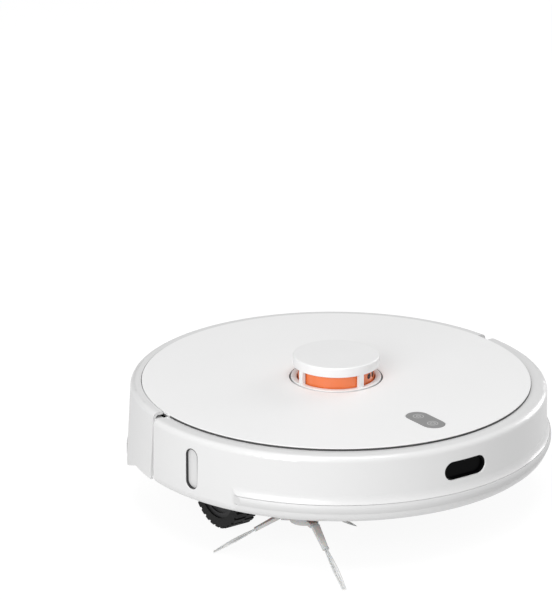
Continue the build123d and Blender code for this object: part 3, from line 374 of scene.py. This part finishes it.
# %% Finishes with two zones
def two_zone(name, axis, limit, below, above, roughness, soft=0.0001):
    """A material whose colour changes where an Object coordinate passes a limit."""
    material = bpy.data.materials.new(name)
    material.use_nodes = True
    tree = material.node_tree
    shader = tree.nodes["Principled BSDF"]
    place = tree.nodes.new("ShaderNodeTexCoord")
    split = tree.nodes.new("ShaderNodeSeparateXYZ")
    zone = add_node(tree, "ShaderNodeMapRange")
    zone.inputs["From Min"].default_value = limit - soft
    zone.inputs["From Max"].default_value = limit + soft
    mix = tree.nodes.new("ShaderNodeMix")
    mix.data_type = "RGBA"
    mix.inputs["A"].default_value = (*below, 1)
    mix.inputs["B"].default_value = (*above, 1)
    grain = tree.nodes.new("ShaderNodeGroup")
    grain.node_tree = GRAIN
    grain.inputs["Cells per metre"].default_value = 1500.0
    bump = add_node(tree, "ShaderNodeBump", Strength=1.0, Distance=0.00003)
    tree.links.new(place.outputs["Object"], split.inputs["Vector"])
    tree.links.new(split.outputs[axis], zone.inputs["Value"])
    tree.links.new(zone.outputs["Result"], mix.inputs["Factor"])
    tree.links.new(mix.outputs["Result"], shader.inputs["Base Color"])
    tree.links.new(grain.outputs["Height"], bump.inputs["Height"])
    tree.links.new(bump.outputs["Normal"], shader.inputs["Normal"])
    shader.inputs["Roughness"].default_value = roughness
    return material


BOARD_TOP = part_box("main_board")[0][2] + 1.7 * MM
BOARD = two_zone("green_circuit_board", "Z", BOARD_TOP, (0.012, 0.10, 0.035), (0.02, 0.02, 0.022), 0.3)
CASTER_AXLE_Y = JOINTS["caster_wheel_roll"]["pos_m"][1]
CASTER = two_zone("half_white_caster_wheel", "Y", CASTER_AXLE_Y, (0.72, 0.72, 0.72),
                  (0.02, 0.02, 0.022), 0.45)


# %% [markdown]
# Every CAD piece that stays visible now gets its finish. A list per finish is easier to read, and to
# change, than one line per piece.

# %% Dress the CAD pieces
DRESS = (
    (SHELL, "rear_shell", "bumper_shell", "dustbin_body", "dustbin_latch", "water_tank"),
    (LID, "top_plate"), (BEAD, "bumper_strip"), (CAP, "lidar_cap"), (MILKY, "wall_sensor_window"),
    (BELLY, "lower_chassis", "battery_cover", "caster_socket", "caster_fork", "side_brush_gearbox"),
    (DARK, "left_wheel_well", "right_wheel_well"),
    (FRAME, "upper_deck", "brush_chamber", "lidar_base", "left_wheel_arm", "right_wheel_arm",
     "fan_housing", "fan_impeller", "brush_guard", "main_brush_core"),
    (HUB, "left_wheel_hub", "right_wheel_hub"), (TYRE, "left_tyre", "right_tyre"),
    (WINDOW, "front_ir_window"), (LENS, "lidar_lenses", "cliff_sensor_lenses"),
    (ROTOR_WITH_PAINTED_GLOW, "lidar_rotor"), (BUTTON, "control_button"),
    (ARM, "side_brush_hub", "side_brush_arm_1", "side_brush_arm_2", "side_brush_arm_3"),
    (BELT, "main_brush_belt", "lidar_belt"), (ACETAL, "drive_pulley", "lidar_pulley"),
    (CELLS, "battery_pack"), (BOARD, "main_board"), (PAPER, "dustbin_filter"), (SMOKED, "dustbin_lid"),
    (PLUG, "tank_plug"), (STEEL, "main_brush_motor", "lidar_motor", "left_wheel_motor",
                          "right_wheel_motor"),
    (SCREW, "chassis_screws"), (NICKEL, "charge_contacts"), (CASTER, "caster_wheel"),
)


def dress_cad():
    """Puts each finish on its CAD pieces and returns how many pieces were dressed."""
    count = 0
    for paint, *nodes in DRESS:
        for node in nodes:
            piece = frame["nodes"][node]
            piece.data.materials.clear()
            piece.data.materials.append(paint)
            count += 1
    return count


print("dressed", dress_cad(), "CAD pieces")


# %% [markdown]
# ## Modelling tools for the new pieces
# The rest of the pieces are modelled. Each starts from a primitive, is shaped with edit-mode operators
# and modifiers, and ends at the row's origin with its place in its own mesh.

# %% Helpers for modelling
def clear_selection():
    """Leaves edit mode and selects nothing."""
    if bpy.context.object and bpy.context.object.mode != "OBJECT":
        bpy.ops.object.mode_set(mode="OBJECT")
    bpy.ops.object.select_all(action="DESELECT")


def pick(piece):
    """Makes this piece the only selected one."""
    clear_selection()
    piece.select_set(True)
    bpy.context.view_layer.objects.active = piece


def keep_place(piece):
    """Moves a piece's place, turn and scale into its own mesh."""
    pick(piece)
    bpy.ops.object.transform_apply(location=True, rotation=True, scale=True)


def apply_modifiers(piece):
    """Applies every modifier of a piece, in its order."""
    pick(piece)
    for modifier in list(piece.modifiers):
        bpy.ops.object.modifier_apply(modifier=modifier.name)


def join_pieces(parts, name):
    """One object of all the parts."""
    clear_selection()
    for part in parts:
        part.select_set(True)
    bpy.context.view_layer.objects.active = parts[0]
    bpy.ops.object.join()
    parts[0].name = name
    return parts[0]


def own_copy(piece, matrix):
    """A copy with its own mesh, moved by a matrix."""
    twin = piece.copy()
    twin.data = piece.data.copy()
    bpy.context.scene.collection.objects.link(twin)
    twin.matrix_world = matrix @ piece.matrix_world
    return twin


def complete(piece, name, body, paint, angle=35):
    """Gives a modelled piece its name, finish, shading and body."""
    piece.name = name
    piece.data.name = name
    keep_place(piece)
    piece.data.materials.clear()
    piece.data.materials.append(paint)
    bpy.ops.object.shade_smooth_by_angle(angle=math.radians(angle))
    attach(piece, body)
    print(name, "faces", len(piece.data.polygons))


def close_and_turn_out(piece):
    """Merges doubles, fills open ends and points all faces outwards."""
    pick(piece)
    bpy.ops.object.mode_set(mode="EDIT")
    bpy.ops.mesh.select_all(action="SELECT")
    bpy.ops.mesh.remove_doubles(threshold=1e-6)
    bpy.ops.mesh.select_all(action="SELECT")
    bpy.ops.mesh.fill_holes(sides=0)
    bpy.ops.mesh.select_all(action="SELECT")
    bpy.ops.mesh.normals_make_consistent(inside=False)
    bpy.ops.object.mode_set(mode="OBJECT")


# %% [markdown]
# ## Suspension springs
# A coil spring pushes each drive wheel down, so that the tyre keeps its grip. A coil is a small circle
# swept round and up at once, which is what the Screw modifier does. The CAD sleeve only kept the room.

# %% Coil springs
WIRE_R = 0.75 * MM
WIRE_SIDES = 10
STEPS_PER_TURN = 20
SPRING_TURNS = 7


def coil_spring(side):
    """One suspension spring in the room of its CAD sleeve."""
    node = side + "_suspension_spring"
    low, high = (Vector(corner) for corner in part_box(node))
    coil_r = (high.x - low.x) / 2 - WIRE_R
    clear_selection()
    bpy.ops.mesh.primitive_circle_add(vertices=WIRE_SIDES, radius=WIRE_R,
                                      location=(coil_r, 0, WIRE_R), rotation=(math.pi / 2, 0, 0))
    spring = bpy.context.object
    keep_place(spring)
    sweep = spring.modifiers.new("turns", "SCREW")
    sweep.angle = 2 * math.pi
    sweep.iterations = SPRING_TURNS
    sweep.screw_offset = (high.z - low.z - 2 * WIRE_R) / SPRING_TURNS
    sweep.steps = sweep.render_steps = STEPS_PER_TURN
    apply_modifiers(spring)
    close_and_turn_out(spring)
    spring.location = ((low.x + high.x) / 2, (low.y + high.y) / 2, low.z)
    complete(spring, side + "_coil_spring", "chassis", WIRE, 60)
    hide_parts(node)
    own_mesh(spring)


for side in ("left", "right"):
    coil_spring(side)


# %% [markdown]
# ## Side brush bristles
# Each rubber arm of the side brush ends in a flat tuft of nylon bristles. One bristle is modelled as a
# five-sided strand, extruded in four short steps so that it can bow a little and taper, and is then copied
# with small seeded differences. The tuft stays between the two ends of its CAD solid.

# %% One bristle
BRISTLE_R = 0.17 * MM
BRISTLE_STEPS = 4
BRISTLE_BOW = 0.0011
BRISTLE_TAPER = 0.88
FULL_TURN = 6.28


def one_bristle():
    """A strand of length 1 along +Z that bows towards +X and tapers."""
    clear_selection()
    bpy.ops.mesh.primitive_circle_add(vertices=5, radius=BRISTLE_R, fill_type="NGON")
    strand = bpy.context.object
    bpy.ops.object.mode_set(mode="EDIT")
    bpy.ops.mesh.select_all(action="SELECT")
    for step in range(1, BRISTLE_STEPS + 1):
        bow = BRISTLE_BOW * (math.sin(math.pi * step / BRISTLE_STEPS)
                             - math.sin(math.pi * (step - 1) / BRISTLE_STEPS))
        bpy.ops.mesh.extrude_region_move(TRANSFORM_OT_translate={"value": (bow, 0, 1 / BRISTLE_STEPS)})
        bpy.ops.transform.resize(value=(BRISTLE_TAPER, BRISTLE_TAPER, 1))
    bpy.ops.object.mode_set(mode="OBJECT")
    close_and_turn_out(strand)
    return strand


def stretched_between(start, end, spin):
    """Matrix that lays a unit strand from start to end, turned about itself."""
    along = end - start
    turn = along.to_track_quat("Z", "Y").to_matrix().to_4x4() @ Matrix.Rotation(spin, 4, "Z")
    return Matrix.Translation(start) @ turn @ Matrix.Diagonal((1, 1, along.length, 1))


# %% Tufts of the side brush
TUFT_BRISTLES = 30
TUFT_SEED = 7
TUFT_ROOT_HALF, TUFT_TIP_HALF = 1.35, 2.1


def tuft_ends(node, hinge):
    """Middle of the CAD tuft's root face and of its tip face, seen from the arm's hinge."""
    points = sorted({tuple(round(c, 6) for c in v.co) for v in frame["nodes"][node].data.vertices},
                    key=lambda p: (Vector(p) - hinge).length)
    root = sum((Vector(p) for p in points[:4]), Vector()) / 4
    tip = sum((Vector(p) for p in points[-4:]), Vector()) / 4
    return root, tip


def side_tuft(number, strand, draw):
    """One tuft, fanned out across its arm, with its root hidden in the arm's end."""
    node = f"side_brush_bristles_{number}"
    joint = JOINTS[f"brush_arm_{number}_flex"]
    across = Vector(joint["axis"])
    root, tip = tuft_ends(node, Vector(joint["pos_m"]))
    along = (tip - root).normalized()
    up = across.cross(along)
    strands = []
    for k in range(TUFT_BRISTLES):
        side = 2 * (k + 0.5) / TUFT_BRISTLES - 1
        start = root - along * MM + across * side * TUFT_ROOT_HALF * MM + up * draw.uniform(-0.5, 0.5) * MM
        end = tip + across * side * TUFT_TIP_HALF * MM + up * draw.uniform(-0.3, 0.45) * MM
        end -= along * draw.uniform(0.0, 1.6) * MM
        strands.append(own_copy(strand, stretched_between(start, end, draw.uniform(0, FULL_TURN))))
    tuft = join_pieces(strands, f"side_tuft_{number}")
    complete(tuft, f"side_tuft_{number}", f"brush_arm_{number}", BRISTLE, 60)
    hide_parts(node)


draw = random.Random(TUFT_SEED)
strand = one_bristle()
for number in (1, 2, 3):
    side_tuft(number, strand, draw)


# %% [markdown]
# A short moulded collar grips each tuft where it leaves the rubber arm. It is a cylinder, squeezed flat to
# follow the arm's section, with its edges bevelled.

# %% Collars on the brush arms
COLLAR_HALVES = (3.0 * MM, 1.75 * MM, 0.9 * MM)
COLLAR_EDGE = 0.3 * MM


def arm_collar(number):
    """One collar, across its arm at the root of the tuft."""
    joint = JOINTS[f"brush_arm_{number}_flex"]
    across = Vector(joint["axis"])
    root, tip = tuft_ends(f"side_brush_bristles_{number}", Vector(joint["pos_m"]))
    along = (tip - root).normalized()
    up = across.cross(along)
    clear_selection()
    bpy.ops.mesh.primitive_cylinder_add(vertices=16, radius=1.0, depth=2.0)
    collar = bpy.context.object
    collar.scale = COLLAR_HALVES
    keep_place(collar)
    bpy.ops.object.mode_set(mode="EDIT")
    bpy.ops.mesh.select_all(action="SELECT")
    bpy.ops.mesh.bevel(offset=COLLAR_EDGE, segments=2, affect="EDGES")
    bpy.ops.object.mode_set(mode="OBJECT")
    axes = Matrix((across, up, along)).transposed().to_4x4()
    collar.matrix_world = Matrix.Translation(root - along * 0.5 * MM) @ axes
    complete(collar, f"arm_collar_{number}", f"brush_arm_{number}", ARM, 40)


for number in (1, 2, 3):
    arm_collar(number)


# %% [markdown]
# ## Roller brush
# The roller under the belly sweeps dirt backwards into the bin. It has rubber blades in a shallow V, which
# beat the carpet from the middle outwards, and rows of bristles between them. A blade is a flat grid
# whose points are wound round the roller by their distance from the middle, and given its thickness by
# Solidify.

# %% Rubber blades of the roller
ROLLER_AXIS = Vector(JOINTS["main_brush_spin"]["pos_m"])
ROLLER_TIP_R = (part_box("main_brush_bristles")[1][2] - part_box("main_brush_bristles")[0][2]) / 2 + 0.2 * MM
ROLLER_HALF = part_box("main_brush_bristles")[1][0]
ROLLER_ROOT_R = 8.7 * MM
BLADE_THICK = 1.5 * MM
BLADE_EDGE = 0.35 * MM
BLADE_START = 0.3
V_TURN = math.radians(24)
BLADE_COUNT = 3


def wound(x, radius, start):
    """Point of a V-shaped row on the roller, at a distance x from its middle."""
    angle = start + V_TURN * abs(x) / ROLLER_HALF
    return ROLLER_AXIS + Vector((x, radius * math.cos(angle), radius * math.sin(angle)))


def roller_blade(start):
    """One V-shaped rubber blade, which leaves the middle of the roller at the angle start."""
    clear_selection()
    bpy.ops.mesh.primitive_grid_add(x_subdivisions=48, y_subdivisions=5, size=2)
    blade = bpy.context.object
    for vertex in blade.data.vertices:
        share = (vertex.co.y + 1) / 2
        radius = ROLLER_ROOT_R + share * (ROLLER_TIP_R - ROLLER_ROOT_R)
        vertex.co = wound(vertex.co.x * ROLLER_HALF, radius, start)
    wall = blade.modifiers.new("wall", "SOLIDIFY")
    wall.thickness = BLADE_THICK
    wall.offset = 0
    rounding = blade.modifiers.new("rounding", "BEVEL")
    rounding.width = BLADE_EDGE
    rounding.segments = 2
    rounding.angle_limit = math.radians(50)
    apply_modifiers(blade)
    return blade


blades = join_pieces([roller_blade(2 * math.pi * k / BLADE_COUNT + BLADE_START)
                      for k in range(BLADE_COUNT)], "roller_blades")
complete(blades, "roller_blades", "main_brush", BLADE, 50)
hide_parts("main_brush_bristles")

# %% Bristle rows of the roller
ROW_TUFTS = 34
ROW_STRANDS = 5


def roller_row(start, strand, draw):
    """One V-shaped row of small tufts between two blades."""
    strands = []
    for k in range(ROW_TUFTS):
        x = ROLLER_HALF * (2 * (k + 0.5) / ROW_TUFTS - 1)
        for _ in range(ROW_STRANDS):
            lean = Vector((draw.uniform(-0.9, 0.9), draw.uniform(-0.7, 0.7), draw.uniform(-0.7, 0.7))) * MM
            foot = wound(x, ROLLER_ROOT_R, start) + lean * 0.4
            head = wound(x, ROLLER_TIP_R - 0.9 * MM, start) + lean
            strands.append(own_copy(strand, stretched_between(foot, head, draw.uniform(0, FULL_TURN))))
    return join_pieces(strands, "row")


rows = join_pieces([roller_row(2 * math.pi * (k + 0.5) / BLADE_COUNT + BLADE_START, strand, draw)
                    for k in range(BLADE_COUNT)], "roller_bristles")
complete(rows, "roller_bristles", "main_brush", BELT, 60)
bpy.data.objects.remove(strand)


# %% [markdown]
# ## Signs on the button
# The grey rocker carries two round signs, a house that sends the robot home and a power mark. They are
# printed light guides, paler than the button. Each line is one flat polygon, in which a ring or the house's
# outline runs round and back again inside itself, extruded by a hair. The points are in millimetres.

# %% Flat signs
SIGN_RAISE = 0.06 * MM
SIGN_RING_R = 4.4 * MM
SIGN_LINE = 0.55 * MM
SIGN_FROM_ROUND = 1.0 * MM
HOUSE = [(-0.02, 2.4), (-2.5, 0.1), (-1.7, 0.1), (-1.7, -1.9), (1.7, -1.9), (1.7, 0.1), (2.5, 0.1),
         (0.02, 2.4), (0.02, 1.6), (1.15, 0.55), (1.15, -1.35), (-1.15, -1.35), (-1.15, 0.55),
         (-0.02, 1.6)]
POWER_BAR = [(-0.3, 0.6), (0.3, 0.6), (0.3, 2.7), (-0.3, 2.7)]
POWER_ARC_R = 2.3


def flat_shape(points, place):
    """A polygon of points in millimetres, standing SIGN_RAISE above its place."""
    clear_selection()
    bpy.ops.mesh.primitive_circle_add(vertices=len(points), radius=1, fill_type="NGON")
    shape = bpy.context.object
    for vertex, (x, y) in zip(shape.data.vertices, points):
        vertex.co = (x * MM, y * MM, 0)
    raise_shape(shape)
    shape.location = place
    keep_place(shape)
    return shape


def raise_shape(shape):
    """Extrudes a flat shape by SIGN_RAISE."""
    pick(shape)
    bpy.ops.object.mode_set(mode="EDIT")
    bpy.ops.mesh.select_all(action="SELECT")
    bpy.ops.mesh.extrude_region_move(TRANSFORM_OT_translate={"value": (0, 0, SIGN_RAISE)})
    bpy.ops.mesh.select_all(action="SELECT")
    bpy.ops.mesh.normals_make_consistent(inside=False)
    bpy.ops.object.mode_set(mode="OBJECT")


def arc_points(radius, start, end, steps=40):
    """Points of an arc band of the sign's line width, in millimetres, angles in degrees."""
    line = SIGN_LINE / MM
    angles = [math.radians(start + (end - start) * k / steps) for k in range(steps + 1)]
    outer = [(radius * math.cos(a), radius * math.sin(a)) for a in angles]
    inner = [((radius - line) * math.cos(a), (radius - line) * math.sin(a)) for a in reversed(angles)]
    return outer + inner


def button_signs():
    """A house in a ring on one end of the button, a power mark in a ring on the other."""
    low, high = (Vector(corner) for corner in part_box("control_button"))
    middle_x = (low.x + high.x) / 2
    from_end = (high.x - low.x) / 2 + SIGN_FROM_ROUND
    power_place = (middle_x, low.y + from_end, high.z)
    home_place = (middle_x, high.y - from_end, high.z)
    ring = SIGN_RING_R / MM
    shapes = [flat_shape(arc_points(ring, 0, 359.5, 64), home_place), flat_shape(HOUSE, home_place),
              flat_shape(arc_points(ring, 0, 359.5, 64), power_place),
              flat_shape(POWER_BAR, power_place),
              flat_shape(arc_points(POWER_ARC_R, 125, 415), power_place)]
    signs = join_pieces(shapes, "button_signs")
    complete(signs, "button_signs", "button", SIGN, 30)


button_signs()


# %% [markdown]
# ## Painted seam shade and screens in the seams
# Two thin black bands paint the shade in the seams of the lid: one under its edge above the moving bumper,
# one round the turret. A short white screen under the lid hides the inside where the bumper ends. Each of
# them is a long narrow grid, wound round the robot's axis by its distance from one end, and given its
# thickness by Solidify.

# %% Bands round the axis
FRONT = -math.pi / 2
LID_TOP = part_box("top_plate")[1][2]
LID_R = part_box("top_plate")[1][0]
TURRET_SHADE_R = 38.5 * MM
SEAM_SHADE_BOTTOM = LID_TOP - 2.2 * MM
THIN = 0.2 * MM
SCREEN_R = LID_R - 4.2 * MM
SCREEN_FROM, SCREEN_TO = 89, 111


def wound_band(name, radius, low_z, high_z, middle, half_turn, thick, segments, paint):
    """A band round the Z axis, centred on the angle middle, half_turn radians to each side."""
    clear_selection()
    bpy.ops.mesh.primitive_grid_add(x_subdivisions=segments, y_subdivisions=1, size=2)
    band = bpy.context.object
    for vertex in band.data.vertices:
        angle = middle + vertex.co.x * half_turn
        height = low_z + (vertex.co.y + 1) / 2 * (high_z - low_z)
        vertex.co = (radius * math.cos(angle), radius * math.sin(angle), height)
    wall = band.modifiers.new("wall", "SOLIDIFY")
    wall.thickness = thick
    wall.offset = 0
    apply_modifiers(band)
    close_and_turn_out(band)
    complete(band, name, "chassis", paint, 40)


# The two black bands paint the shade in the seam under the lid's edge and in the gap round the turret.
wound_band("lid_seal", LID_R + 0.15 * MM, SEAM_SHADE_BOTTOM, LID_TOP - 0.8 * MM, FRONT, math.radians(91),
           THIN, 240, SEAM_SHADE_BLACK)
wound_band("turret_seal", TURRET_SHADE_R, SEAM_SHADE_BOTTOM, LID_TOP - 1.0 * MM, FRONT, math.pi, 0.9 * MM,
           120, SEAM_SHADE_BLACK)
screen_middle = math.radians((SCREEN_FROM + SCREEN_TO) / 2)
screen_half = math.radians((SCREEN_TO - SCREEN_FROM) / 2)
for side, turn in (("right", -1), ("left", 1)):
    wound_band(side + "_notch_screen", SCREEN_R, LID_TOP - 7.5 * MM, LID_TOP - 2.3 * MM,
               FRONT + turn * screen_middle, screen_half, THIN, 32, LID)


# %% [markdown]
# A dark liner in the bumper's side slot, in front of the milky window, paints the shade on the slot's inner
# wall. It starts from a circle. Its two halves are pulled apart into a pill, the pill is extruded, and
# Solidify gives it a wall.

# %% Painted shade liner of the side slot
SHADE_LINER_THICK = 0.35 * MM
SHADE_LINER_DEEP = 2.4 * MM
SLOT_FACE_R = 172.25 * MM
SLOT_END_R = 5.95 * MM
SLOT_HALF_LONG = 10.8 * MM


def slot_liner():
    """A dark pill-shaped ring on the bumper's side, in front of the wall sensor's window: painted shade in
    the slot.
    """
    low, high = (Vector(corner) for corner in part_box("wall_sensor_window"))
    middle = (low + high) / 2
    out = Vector((middle.x, middle.y, 0)).normalized()
    side = Vector((0, 0, 1)).cross(out)
    clear_selection()
    bpy.ops.mesh.primitive_circle_add(vertices=48, radius=SLOT_END_R)
    shade_liner = bpy.context.object
    for vertex in shade_liner.data.vertices:
        vertex.co.y += math.copysign(SLOT_HALF_LONG, vertex.co.y)
    bpy.ops.object.mode_set(mode="EDIT")
    bpy.ops.mesh.select_all(action="SELECT")
    bpy.ops.mesh.extrude_region_move(TRANSFORM_OT_translate={"value": (0, 0, SHADE_LINER_DEEP)})
    bpy.ops.object.mode_set(mode="OBJECT")
    wall = shade_liner.modifiers.new("wall", "SOLIDIFY")
    wall.thickness = SHADE_LINER_THICK
    wall.offset = 0
    apply_modifiers(shade_liner)
    axes = Matrix((side, Vector((0, 0, 1)), out)).transposed().to_4x4()
    shade_liner.matrix_world = Matrix.Translation(out * SLOT_FACE_R + Vector((0, 0, middle.z))) @ axes
    # The dark liner is painted shade on the slot's inner wall.
    complete(shade_liner, "slot_liner", "bumper", DARK, 50)


slot_liner()


# %% [markdown]
# The laser rotor looks out through two small ports side by side. The CAD rotor has the hole of one lens on
# that side; the other port is a dark disc, let into the filter with only a hair of it standing out.

# %% Dark port of the rotor
PORT_R = 2.4 * MM
PORT_DEEP = 0.5 * MM
PORT_OUT = 0.12 * MM
PORT_BESIDE_LENS = math.radians(-14.5)


def rotor_port():
    """A dark disc on the rotor, beside the lens that looks to the front."""
    low, high = (Vector(corner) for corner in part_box("lidar_lenses"))
    points = [v.co for v in frame["nodes"]["lidar_lenses"].data.vertices if v.co.y < 0]
    lens = sum(points, Vector()) / len(points)
    rotor_r = max(Vector((v.co.x, v.co.y)).length for v in frame["nodes"]["lidar_rotor"].data.vertices
                  if low.z < v.co.z < high.z)
    turn = Matrix.Rotation(math.atan2(lens.y, lens.x) + PORT_BESIDE_LENS, 4, "Z")
    clear_selection()
    bpy.ops.mesh.primitive_cylinder_add(vertices=32, radius=PORT_R, depth=PORT_DEEP)
    port = bpy.context.object
    rest = Matrix.Translation((rotor_r + PORT_OUT - PORT_DEEP / 2, 0, (low.z + high.z) / 2))
    port.matrix_world = turn @ rest @ Matrix.Rotation(math.pi / 2, 4, "Y")
    complete(port, "rotor_port", "turret_rotor", LENS, 40)


rotor_port()
